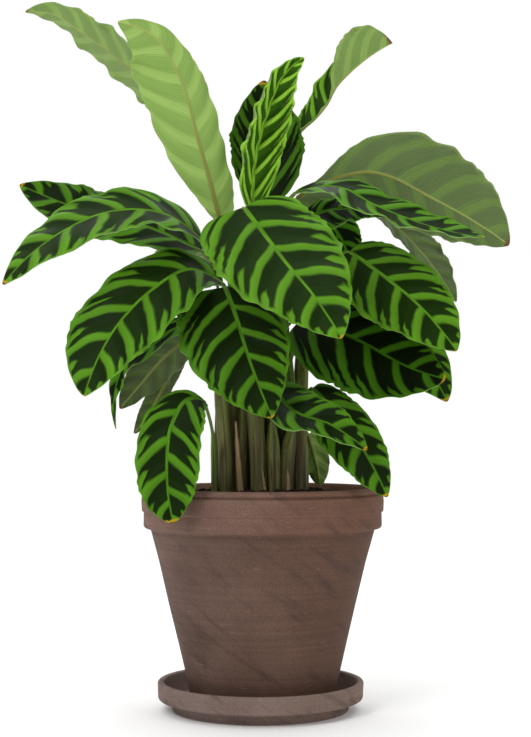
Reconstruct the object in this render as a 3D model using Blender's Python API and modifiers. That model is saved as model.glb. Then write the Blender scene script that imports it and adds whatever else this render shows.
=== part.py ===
"""Calathea zebrina growing in a clay pot that stands on a clay saucer.

The frame is metres with +Z up. The origin lies on the table at the axis of the pot, and -Y is the
front. Sizes below are millimetres. Each leaf is one blade and one stem, and a blade is placed by
the line of its midrib and by the way that its upper face looks.
"""
import math
from collections import namedtuple

import bmesh
import bpy
import numpy as np
from mathutils import Vector

MM = 0.001
GAP = 0.3

# Pot
RIM_RADIUS = 120.5
POT_FOOT = 8.0
POT_TOP = 219.5
WALL = 8.0
HOLE_RADIUS = 12.0
TURNED_STEPS = 40

# Saucer, which stands a little off the pot's axis
SAUCER_RADIUS = 102.0
SAUCER_TOP = 28.5
SAUCER_FLOOR = POT_FOOT - GAP
SAUCER_SHIFT = -2.0

# Soil
SOIL_TOP = 216.0
SOIL_EDGE = 205.0
SOIL_FLAT_RADIUS = 52.0

# Leaves
BLADE_THICKNESS = 1.0
BLADE_STATIONS = 10
BLADE_STRIPS = 4
BASE_HALF_WIDTH = 2.2
TIP_HALF_WIDTH = 0.8
BASE_ROUNDNESS = 2.6
TIP_ROUNDNESS = 1.7
TIP_SHARPNESS = 0.8
COLLAR_RADIUS = 1.5
COLLAR_CLEARANCE = 1.0
STEM_STRAIGHT = 8.0
STEM_RISE = 0.5
STEM_LEAST_RISE = 45.0
STEM_REACH = 0.3
STEM_SEGMENTS = 11
SHEATH_ENDS = 0.25
THIN_FROM = 0.6

# rib: points along the midrib from base to tip. face: the way the upper face looks, from base to
# tip. left and right: each side seen from above with the tip ahead, as its greatest half-width,
# where along the rib that lies, how slowly it widens from the base and, where it differs from
# TIP_ROUNDNESS, how full it stays towards the tip. fold: how far each side rises from the flat at
# the midrib, and bend: how much further it turns out to the margin, both in degrees. foot: where
# the stem leaves the soil. stem: its radius there. lift: how much more upright the stem's end is
# than the blade's base.
Leaf = namedtuple("Leaf", "name rib face left right fold bend foot stem lift")

LEAVES = [
    Leaf("far_left_high",
         [(-83, 55, 600), (-138, 75, 655), (-190, 85, 696), (-226, 85, 718), (-251, 80, 718)],
         [(0.5, 0.38, 0.66), (0.5, 0.38, 0.66)],
         (38, 0.42, 0.5), (38, 0.42, 0.5), 8, -10, (-22, 4), 5.0, 0.5),
    Leaf("tall_pale",
         [(-42, -15, 484), (-62, -35, 557), (-83, -60, 623), (-105, -80, 653), (-137, -90, 663)],
         [(-0.1, 0.9, 0.3), (-0.2, 0.8, 0.6)],
         (24, 0.45, 0.3), (42, 0.7, 1.0), 8, 5, (-30, -8), 5.0, 0.3),
    Leaf("upright_dark",
         [(5, 15, 509), (4, 25, 572), (1, 22, 632)],
         [(0, -1, 0.1), (0, -1, 0.2)],
         (38, 0.5, 0.5), (38, 0.5, 0.5), 10, 5, (-7, 1), 4.5, 0.0),
    Leaf("young_folded",
         [(-10, -22, 498), (-8, -30, 537), (4, -35, 585), (24, -32, 629), (41, -25, 644)],
         [(0.4, -0.9, 0), (0.5, -0.85, 0), (0.3, -0.9, 0.2)],
         (24, 0.35, 0.5), (26, 0.5, 0.5), 30, 10, (-3, -16), 5.0, 0.3),
    Leaf("twisted_high",
         [(38, 45, 584), (52, 47, 595), (66, 49, 611), (78, 50, 633), (101, 47, 655), (134, 40, 675)],
         [(-0.8, -0.15, 0.6), (-0.75, -0.1, 0.65)],
         (22, 0.45, 0.5), (36, 0.78, 16.0, 3.0), 62, 5, (1, 17), 5.0, 0.3),
    Leaf("right_wide",
         [(35, 34, 513), (63, 32, 529), (105, 20, 538), (174, -8, 505), (241, -38, 457)],
         [(0, 0.85, 0.5), (0.1, 0.8, 0.6)],
         (46, 0.5, 0.6), (55, 0.6, 3.2, 2.1), 5, 5, (8, 3), 5.5, 1.2),
    Leaf("right_narrow",
         [(33, -20, 511), (73, -38, 514), (110, -62, 492), (165, -90, 467), (206, -115, 455)],
         [(0, -0.45, 0.9), (0.1, -0.5, 0.85)],
         (26, 0.6, 0.7), (33, 0.55, 0.5), 8, 0, (12, -13), 4.5, 0.5),
    Leaf("right_dark_short",
         [(40, -2, 486), (68, -4, 496), (120, -14, 488)],
         [(0, -0.8, 0.6), (0, -0.7, 0.7)],
         (16, 0.5, 0.5), (28, 0.4, 0.5), 5, 0, (34, 4), 3.5, 1.5),
    Leaf("right_small_hidden",
         [(56, 22, 494), (76, 26, 477), (88, 22, 444)],
         [(0, -0.9, 0.5), (0, -1, 0.2)],
         (22, 0.5, 0.5), (26, 0.5, 0.5), 5, 0, (21, 5), 4.5, 0.2),
    Leaf("front_centre",
         [(-18, -60, 491), (4, -95, 458), (23, -120, 430), (45, -145, 401), (71, -165, 359)],
         [(-0.2, -0.7, 0.7), (-0.2, -0.85, 0.5)],
         (54, 0.45, 0.35), (59, 0.34, 0.25), 4, -6, (-4, -34), 7.5, 1.5),
    Leaf("right_front",
         [(86, -15, 453), (115, -45, 428), (156, -75, 388), (183, -90, 351)],
         [(-0.1, -0.8, 0.6), (0, -0.9, 0.5)],
         (39, 0.48, 0.4), (49, 0.45, 0.4), 4, -4, (37, -20), 6.3, 0.8),
    Leaf("right_slim_back",
         [(114, 60, 509), (156, 75, 475), (183, 80, 444), (203, 75, 410)],
         [(0.6, 0.4, 0.6), (0.7, 0.4, 0.5)],
         (24, 0.5, 0.5), (28, 0.6, 0.5), 8, 0, (34, 15), 4.0, 0.8),
    Leaf("right_low_dark",
         [(40, -15, 388), (92, -42, 364), (147, -60, 334), (175, -70, 325)],
         [(0, -0.85, 0.5), (0, -0.9, 0.5)],
         (46, 0.5, 0.4), (58, 0.48, 0.4), 4, -4, (28, -10), 4.5, 0.5),
    Leaf("right_low_back",
         [(85, 40, 391), (142, 55, 369), (190, 50, 305)],
         [(0, -0.9, 0.5), (0.2, -1, 0.3)],
         (30, 0.6, 0.5), (36, 0.5, 0.5), 4, -4, (28, 23), 4.5, 0.5),
    Leaf("left_low_wide",
         [(-39, -30, 420), (-71, -60, 431), (-102, -85, 411), (-133, -105, 377), (-164, -120, 308)],
         [(0, -0.8, 0.7), (-0.2, -0.9, 0.5)],
         (44, 0.6, 0.9), (43, 0.72, 0.7), 4, -4, (-19, -21), 4.5, 0.4),
    Leaf("front_left_low",
         [(-36, -60, 414), (-27, -77, 390), (-12, -105, 342), (9, -115, 288)],
         [(0, -0.8, 0.6), (0, -0.95, 0.3)],
         (43, 0.45, 0.4), (58, 0.4, 0.3), 4, -6, (-34, -27), 8.0, 1.0),
    Leaf("left_arching",
         [(-61, -25, 464), (-95, -50, 486), (-136, -70, 487), (-198, -95, 457), (-241, -110, 412)],
         [(0, -0.6, 0.8), (-0.1, -0.65, 0.75)],
         (40, 0.5, 0.6), (37, 0.38, 0.5), 6, -6, (-44, -9), 4.5, 0.4),
    Leaf("left_back",
         [(-63, 20, 458), (-115, 35, 483), (-196, 55, 507), (-253, 60, 531)],
         [(0, -0.6, 0.8), (0.2, -0.85, 0.5)],
         (38, 0.55, 0.5), (35, 0.62, 0.6), 4, -4, (-37, 6), 4.5, 0.4),
    Leaf("left_shaded_drooping",
         [(-58, 25, 386), (-90, 33, 379), (-119, 40, 358), (-143, 47, 342), (-151, 50, 321), (-151, 50, 277)],
         [(0, -0.7, 0.7), (-0.3, -0.8, 0.5), (-1, -0.3, 0)],
         (13, 0.35, 0.5), (14, 0.4, 0.5), 8, 0, (-47, 9), 3.5, 0.6),
    Leaf("left_hanging",
         [(-69, 50, 374), (-96, 60, 357), (-128, 70, 323), (-149, 72, 298)],
         [(-0.4, 0.85, 0.3), (-0.5, 0.85, 0.2)],
         (23, 0.55, 0.5), (24, 0.45, 0.5), 6, 0, (-40, 21), 3.5, 0.8),
    Leaf("left_inner_hanging",
         [(-86, 85, 350), (-100, 88, 330), (-116, 88, 300), (-135, 85, 272)],
         [(-0.4, 0.9, 0.2), (-0.4, 0.9, 0.1)],
         (13, 0.5, 0.5), (12, 0.5, 0.5), 6, 0, (-28, 20), 3.5, 0.5),
    Leaf("over_rim_left",
         [(-55, -85, 304), (-70, -102, 305), (-84, -114, 281), (-88, -117, 244), (-82, -114, 191)],
         [(0, -0.7, 0.7), (-0.1, -1, 0.1), (0, -1, 0)],
         (31, 0.5, 0.7, 3.0), (29, 0.55, 1.6, 3.0), 6, -6, (-47, -29), 3.2, 1.5),
    Leaf("low_centre",
         [(13, -60, 317), (32, -95, 293), (64, -117, 281), (96, -127, 258)],
         [(-0.1, -0.7, 0.7), (0, -0.7, 0.7)],
         (26, 0.35, 0.5), (30, 0.45, 0.5), 18, 0, (11, -30), 6.3, 1.0),
    Leaf("low_right",
         [(48, -50, 317), (72, -78, 289), (96, -92, 256), (117, -92, 214)],
         [(0, -0.8, 0.6), (0.1, -0.95, 0.3)],
         (24, 0.5, 0.5), (32, 0.5, 0.5), 5, -4, (24, -26), 6.5, 1.0),
    Leaf("inside_drooping",
         [(45, -3, 272), (53, 8, 246), (58, 18, 219)],
         [(0.1, 1, 0.3), (0.1, 1, 0.1)],
         (14, 0.5, 0.5), (14, 0.5, 0.5), 8, 0, (43, -7), 3.0, 0.3),
    Leaf("back_left",
         [(-20, 70, 440), (-60, 125, 465), (-100, 160, 445), (-130, 175, 400)],
         [(-0.2, 0.5, 0.85), (-0.4, 0.8, 0.5)],
         (42, 0.5, 0.4), (42, 0.5, 0.4), 4, -4, (-14, 18), 4.5, 0.5),
    Leaf("back_centre",
         [(5, 75, 430), (12, 130, 450), (18, 180, 435), (20, 222, 395)],
         [(0, 0.3, 1), (0, 0.8, 0.5)],
         (44, 0.5, 0.4), (44, 0.5, 0.4), 4, -4, (-2, 32), 4.5, 0.5),
    Leaf("back_right",
         [(60, 78, 420), (105, 118, 440), (150, 150, 420), (182, 168, 380)],
         [(0.2, 0.4, 0.9), (0.5, 0.6, 0.6)],
         (42, 0.5, 0.4), (42, 0.5, 0.4), 4, -4, (15, 20), 4.5, 0.5),
]


def unit(vectors):
    vectors = np.asarray(vectors, float)
    return vectors / np.linalg.norm(vectors, axis=-1, keepdims=True)


def smooth_line(points, s):
    """Points at the fractions s of a smooth line through the given points."""
    points = np.asarray(points, float)
    steps = np.linalg.norm(np.diff(points, axis=0), axis=1)
    knots = np.concatenate([[0.0], np.cumsum(steps)]) / steps.sum()
    slopes = np.gradient(points, knots, axis=0, edge_order=2)
    s = np.asarray(s, float)
    i = np.clip(np.searchsorted(knots, s, side="right") - 1, 0, len(points) - 2)
    span = (knots[i + 1] - knots[i])[..., None]
    u = (s - knots[i])[..., None] / span
    start = (1 + 2 * u) * (1 - u) ** 2 * points[i] + u * (1 - u) ** 2 * span * slopes[i]
    end = u * u * (3 - 2 * u) * points[i + 1] + u * u * (u - 1) * span * slopes[i + 1]
    return start + end


def side_outline(s, side):
    """Half-width along one side, round at the base and pointed at the tip."""
    half, belly, shoulder, taper = (*side, TIP_ROUNDNESS)[:4]
    base_part = 1 - (1 - np.clip(s / belly, 0, 1)) ** BASE_ROUNDNESS
    tip_part = 1 - np.clip((s - belly) / (1 - belly), 0, 1) ** taper
    ends = BASE_HALF_WIDTH + (TIP_HALF_WIDTH - BASE_HALF_WIDTH) * s
    return ends + (half - ends) * base_part ** shoulder * tip_part ** TIP_SHARPNESS


def blade_frame(leaf, s):
    """Midrib points, with the directions along the rib, across the blade and out of its face."""
    reach = 0.01
    rib = smooth_line(leaf.rib, s)
    along = unit(smooth_line(leaf.rib, s + reach) - smooth_line(leaf.rib, s - reach))
    stations = np.linspace(0, 1, len(leaf.face))
    face = np.stack([np.interp(s, stations, axis) for axis in unit(leaf.face).T], axis=-1)
    face = unit(face - (face * along).sum(axis=-1, keepdims=True) * along)
    return rib, along, np.cross(along, face), face


def blade_points(leaf, s, t):
    """The blade's surface at s, from base to tip, and t, from one margin to the other."""
    rib, along, across, face = blade_frame(leaf, s)
    distance = np.abs(t) * np.where(t < 0, side_outline(s, leaf.left), side_outline(s, leaf.right))
    fold = math.radians(leaf.fold)
    turn = math.radians(leaf.bend if leaf.bend else 0.1) / max(leaf.left[0], leaf.right[0])
    out = (np.sin(fold + turn * distance) - math.sin(fold)) / turn
    up = (math.cos(fold) - np.cos(fold + turn * distance)) / turn
    return rib + across * (np.sign(t) * out)[..., None] + face * up[..., None]


def stem_points(leaf):
    """The stem's line from the soil to just short of the blade."""
    rib, along, across, face = blade_frame(leaf, np.array([0.0]))
    arrival = unit(along[0] + leaf.lift * np.array([0, 0, 1]))
    slant = np.linalg.norm(np.cross(arrival, along[0]))
    top = rib[0] - arrival * (GAP + slant * COLLAR_CLEARANCE)
    foot = np.array([*leaf.foot, SOIL_TOP + GAP])
    start = foot + (0, 0, STEM_STRAIGHT)
    rise = np.array([0, 0, max(STEM_RISE * (top - start)[2], STEM_LEAST_RISE)])
    reach = STEM_REACH * np.linalg.norm(top - start)
    u = np.linspace(0, 1, STEM_SEGMENTS)[:, None]
    line = ((1 - u) ** 3 * start + 3 * u * (1 - u) ** 2 * (start + rise)
            + 3 * u * u * (1 - u) * (top - arrival * reach) + u ** 3 * top)
    return np.vstack([foot, line])


def stem_radius(leaf, u):
    """The stem's radius at u, from the soil to the blade: full in the sheath, thin above it."""
    fall = np.clip((u - SHEATH_ENDS) / (THIN_FROM - SHEATH_ENDS), 0, 1)
    return COLLAR_RADIUS + (leaf.stem - COLLAR_RADIUS) * (1 - fall * fall * (3 - 2 * fall))


def material(name, colour, roughness):
    made = bpy.data.materials.new(name)
    made.use_nodes = True
    shader = made.node_tree.nodes["Principled BSDF"]
    shader.inputs["Base Color"].default_value = (*colour, 1)
    shader.inputs["Roughness"].default_value = roughness
    return made


def place(thing, collection, parent, at, finish):
    collection.objects.link(thing)
    thing.location = Vector(at) * MM
    thing.parent = parent
    thing.data.materials.append(finish)


def turned(name, profile, closed):
    """A solid turned from a profile of (radius, height) points."""
    mesh = bpy.data.meshes.new(name)
    count = len(profile)
    edges = [(i, (i + 1) % count) for i in range(count if closed else count - 1)]
    mesh.from_pydata([(r * MM, 0, z * MM) for r, z in profile], edges, [])
    thing = bpy.data.objects.new(name, mesh)
    screw = thing.modifiers.new("Turned", "SCREW")
    screw.steps = screw.render_steps = TURNED_STEPS
    screw.use_merge_vertices = True
    screw.merge_threshold = 0.00001
    return thing


def pot_inside():
    """The inner wall from the rim down to the floor, as (radius, height)."""
    return [(110, POT_TOP - 1.5), (109, POT_TOP - 6), (108.5, 195), (102.5, 174), (94.5, 146),
            (75.4, 66), (66, 20), (63, POT_FOOT + WALL + 1)]


def pot():
    lip = [(111.5, POT_TOP), (116.5, POT_TOP), (118, POT_TOP - 2), (117.5, 214), (116.8, 213)]
    upper_band = [(RIM_RADIUS - 0.5, 212), (RIM_RADIUS, 206), (RIM_RADIUS - 0.6, 196)]
    lower_band = [(RIM_RADIUS - 2.2, 195), (RIM_RADIUS - 2.2, 181), (117, 179.5)]
    wall = [(110.5, 175), (102.5, 146), (83.4, 66), (77.3, 40), (72.7, 17.4), (71, POT_FOOT)]
    hole = [(HOLE_RADIUS, POT_FOOT), (HOLE_RADIUS, POT_FOOT + WALL + 1)]
    inside = list(reversed(pot_inside()))
    return turned("pot", lip + upper_band + lower_band + wall + hole + inside, closed=True)


def saucer():
    floor = [(0, SAUCER_FLOOR), (84, SAUCER_FLOOR), (88, 9.5)]
    rim = [(95.5, SAUCER_TOP - 1), (97, SAUCER_TOP), (SAUCER_RADIUS - 1, SAUCER_TOP),
           (SAUCER_RADIUS, SAUCER_TOP - 1.5), (SAUCER_RADIUS - 0.6, 12.5), (100, 11)]
    foot = [(90, 10), (88, 8.5), (87, 0), (0, 0)]
    return turned("saucer", floor + rim + foot, closed=False)


def soil():
    surface = [(0, SOIL_TOP), (SOIL_FLAT_RADIUS, SOIL_TOP), (82, 210.5)]
    below = [(r - GAP, z) for r, z in pot_inside() if z < SOIL_EDGE - 5]
    below[-1] = (63 - GAP, POT_FOOT + WALL + 1 + GAP)
    edge = [(108.6 - GAP, SOIL_EDGE - 1)]
    return turned("soil", surface + edge + below + [(0, POT_FOOT + WALL + 1 + GAP)], closed=False)


def blade(leaf):
    """A flat grid laid along the leaf's midrib, then thickened."""
    grid = bmesh.new()
    bmesh.ops.create_grid(grid, x_segments=BLADE_STATIONS, y_segments=BLADE_STRIPS, size=1)
    flat = np.array([v.co for v in grid.verts])
    s = 0.5 - 0.5 * np.cos(0.5 * math.pi * (flat[:, 0] + 1))
    shaped = blade_points(leaf, s, flat[:, 1]) - np.array(leaf.rib[0])
    for vert, point in zip(grid.verts, shaped):
        vert.co = Vector(point) * MM
    mesh = bpy.data.meshes.new("blade_" + leaf.name)
    grid.to_mesh(mesh)
    grid.free()
    mesh.shade_smooth()
    thing = bpy.data.objects.new("blade_" + leaf.name, mesh)
    solid = thing.modifiers.new("Thickness", "SOLIDIFY")
    solid.thickness = BLADE_THICKNESS * MM
    solid.offset = 0
    return thing


def stem(leaf):
    """A round stalk, thick where it sheathes its neighbours and thin at the blade."""
    curve = bpy.data.curves.new("stem_" + leaf.name, "CURVE")
    curve.dimensions = "3D"
    curve.bevel_depth = leaf.stem * MM
    curve.bevel_resolution = 2
    curve.use_fill_caps = True
    points = stem_points(leaf)
    line = curve.splines.new("POLY")
    line.points.add(len(points) - 1)
    for i, (knot, point) in enumerate(zip(line.points, points - points[0])):
        radius = stem_radius(leaf, i / (len(points) - 1))
        knot.co = (*(point * MM), 1)
        knot.radius = radius / leaf.stem
    return bpy.data.objects.new("stem_" + leaf.name, curve)


def build():
    for old in list(bpy.data.objects):
        bpy.data.objects.remove(old)
    collection = bpy.data.collections.new("calathea_zebrina")
    bpy.context.scene.collection.children.link(collection)
    plant = bpy.data.objects.new("plant", None)
    collection.objects.link(plant)
    clay = material("fired_clay", (0.19, 0.13, 0.11), 0.8)
    saucer_clay = material("saucer_clay", (0.21, 0.14, 0.12), 0.8)
    compost = material("potting_soil", (0.02, 0.014, 0.01), 0.95)
    leaf_green = material("leaf_green", (0.04, 0.13, 0.015), 0.4)
    stem_green = material("stem_green", (0.11, 0.14, 0.03), 0.45)
    place(pot(), collection, None, (0, 0, 0), clay)
    place(saucer(), collection, None, (SAUCER_SHIFT, 0, 0), saucer_clay)
    place(soil(), collection, None, (0, 0, 0), compost)
    for leaf in LEAVES:
        place(blade(leaf), collection, plant, leaf.rib[0], leaf_green)
        place(stem(leaf), collection, plant, (*leaf.foot, SOIL_TOP + GAP), stem_green)


build()
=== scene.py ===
"""Looks of the calathea zebrina in its clay pot and saucer.

Sizes are millimetres until a mesh is made, unless a comment says otherwise. Each leaf of the CAD
model gets a finely modelled blade and stalk on the same lines, and the pot, the saucer and the
soil are turned again from finer profiles. The pattern of a leaf is laid out on its mesh as plain
numbers, such as the distance from the midrib, and the materials paint from those.
"""
import math
from collections import namedtuple

import bmesh
import bpy
import numpy as np
from mathutils import Matrix, Vector


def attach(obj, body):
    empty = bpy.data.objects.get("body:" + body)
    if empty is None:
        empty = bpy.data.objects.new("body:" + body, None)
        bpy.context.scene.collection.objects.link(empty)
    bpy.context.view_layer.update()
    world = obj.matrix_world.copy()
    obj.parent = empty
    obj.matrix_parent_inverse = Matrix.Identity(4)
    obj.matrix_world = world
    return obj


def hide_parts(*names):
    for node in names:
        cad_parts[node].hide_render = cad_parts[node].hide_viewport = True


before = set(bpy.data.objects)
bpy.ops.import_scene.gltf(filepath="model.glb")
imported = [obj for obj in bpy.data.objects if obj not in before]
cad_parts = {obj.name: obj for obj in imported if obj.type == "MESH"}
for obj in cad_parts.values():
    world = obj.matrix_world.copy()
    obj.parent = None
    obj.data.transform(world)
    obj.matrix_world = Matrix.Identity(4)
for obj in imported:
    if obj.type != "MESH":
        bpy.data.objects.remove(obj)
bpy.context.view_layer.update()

MM = 0.001
GAP = 0.3

# Camera: where it stands, in metres, how much it looks up, and its lens for the long side of its
# sensor. CLIP_START is in metres.
CAMERA_AT = (0.003, -1.548, 0.286)
CAMERA_UP_DEGREES = 1.903
CAMERA_LENS = 75.71
CAMERA_SENSOR = 36
CLIP_START = 0.05

# Studio: strength of the white room as a light and as the backdrop, then of the light overhead,
# with how wide that one is and how it tilts. It comes a little from behind, so that its soft
# shadow falls to the front. FLOOR_REACH and FLOOR_DROP are in metres, and FLOOR_GLOW is how much
# the floor shines by itself.
ROOM_LIGHT = 0.42
BACKDROP_WHITE = 1.0
OVERHEAD_STRENGTH = 2.3
OVERHEAD_DEGREES = 80
OVERHEAD_TILT_DEGREES = -24
FLOOR_REACH = 6.0
FLOOR_DROP = 0.0002
FLOOR_GLOW = 0.06

# Leaves, the same as in the CAD model
BASE_HALF_WIDTH = 2.2
TIP_HALF_WIDTH = 0.8
BASE_ROUNDNESS = 2.6
TIP_ROUNDNESS = 1.7
TIP_SHARPNESS = 0.8
COLLAR_RADIUS = 1.5
COLLAR_CLEARANCE = 1.0
STEM_STRAIGHT = 8.0
STEM_RISE = 0.5
STEM_LEAST_RISE = 45.0
STEM_REACH = 0.3
SHEATH_ENDS = 0.25
THIN_FROM = 0.6
SOIL_TOP = 216.0

# Finer shape of a blade: its grid, which is closer near the midrib, the lobes beside the stalk,
# the unevenness of its margin as a share of its width, and the heights of its folds, swelling,
# ribbing, groove and midrib.
STATIONS = 97
STRIPS = 40
CLOSER_AT_RIB = 1.35
HALF_THICKNESS = 0.25
LOBE_REACH = 6.0
LOBE_LENGTH = 0.07
LOBE_START = 0.02
RAGGED = 0.020
PLEAT_HEIGHT = 2.4
SWELL_HEIGHT = 2.0
RIBBING = 0.18
GROOVE_DEPTH = 0.8
RIB_HEIGHT = 1.5
BLADE_CREASE_DEGREES = 55

# Stripes of a blade: how far they run towards the tip on their way out, how much further near the
# margin, and where the first one lies, in stripes.
STRIPE_LEAN = 0.62
STRIPE_CURL = 0.42
FIRST_STRIPE = 0.15

# How far the yellowing of a tip runs ahead of its dried end
YELLOW_LEAD = 1.5

# Finer shape of a stalk: its grid, how deep it stands in the soil, the swelling below the blade
# and the least radius that has one, the thickness of its sleeve and the share of a full sheath
# from which it has one, and the number painted where there is none.
STEM_SIDES = 32
STEM_ROWS = 150
STEM_DEPTH = 9.0
KNEE_HEIGHT = 0.5
KNEE_LEAST_STEM = 3.4
SLEEVE_STEP = 0.55
SLEEVE_FROM = 0.3
NO_SLEEVE = 99

# Pot and saucer, as (radius, height) profiles. The saucer stands a little off the pot's axis.
TURNED_STEPS = 240
TURNED_CREASE_DEGREES = 40
CORNER_POINTS = 4
SAUCER_SHIFT = -2.0
POT_PROFILE = [
    (111.0, 219.3), (113.5, 219.5), (116.5, 219.4), (117.9, 217.6), (117.7, 214.6),
    (116.7, 213.4), (116.9, 212.8), (119.9, 212.1), (120.5, 206.0), (120.0, 196.2),
    (118.2, 195.2), (118.2, 194.4), (118.4, 181.5), (117.0, 179.6), (111.6, 178.9),
    (110.5, 175.0), (102.5, 146.0), (93.0, 106.0), (83.4, 66.0), (77.3, 40.0), (72.7, 17.4),
    (71.3, 8.0), (12.0, 8.0), (12.0, 17.0), (63.0, 17.0), (66.0, 20.0), (75.4, 66.0),
    (94.5, 146.0), (102.5, 174.0), (108.5, 195.0), (109.0, 213.5), (109.8, 218.0)]
SAUCER_PROFILE = [
    (0.1, 7.7), (84.0, 7.7), (88.0, 9.5), (92.0, 19.0), (95.5, 27.5), (97.0, 28.5),
    (100.8, 28.4), (102.0, 27.0), (101.7, 19.0), (101.4, 12.5), (100.0, 11.0), (90.0, 10.0),
    (88.3, 8.5), (87.2, 0.0), (0.1, 0.0)]

# Soil: the height of its top by distance from the axis, and the profile of the rest
SOIL_RADIUS = 107.5
SOIL_DISTANCES = [0, 52, 82, SOIL_RADIUS]
SOIL_HEIGHTS = [SOIL_TOP, SOIL_TOP, 210.5, 204.3]
SOIL_SIDES = 200
SOIL_RINGS = 90
SOIL_CALM_EDGE = 6
SOIL_BELOW = [(105.6, 190.0), (102.2, 174.0), (94.2, 146.0), (75.1, 66.0), (65.7, 20.0),
              (62.7, 17.3)]
CRUMBS = 260

# Dried sheaths: name, foot, tip and width
DRIED_SHEATHS = (("dried_sheath_left", (-21, -45, 212), (-26, -37, 285), 8),
                 ("dried_sheath_middle", (3, -42, 213), (0, -41, 237), 4),
                 ("dried_sheath_right", (26, -33, 212), (24, -32, 252), 6))

# Seeds of the random draws. A leaf and a dried sheath add their place in their table to theirs.
LEAF_SEED = 100
SHEATH_SEED = 40
SOIL_SEED = 7

# rib: points along the midrib from base to tip. face: the way the upper face looks, from base to
# tip. left and right: each side seen from above with the tip ahead, as its greatest half-width,
# where along the rib that lies, how slowly it widens from the base and, where it differs from
# TIP_ROUNDNESS, how full it stays towards the tip. fold: how far each side rises from the flat at
# the midrib, and bend: how much further it turns out to the margin, both in degrees. foot: where
# the stem leaves the soil. stem: its radius there. lift: how much more upright the stem's end is
# than the blade's base.
Leaf = namedtuple("Leaf", "name rib face left right fold bend foot stem lift")

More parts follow.
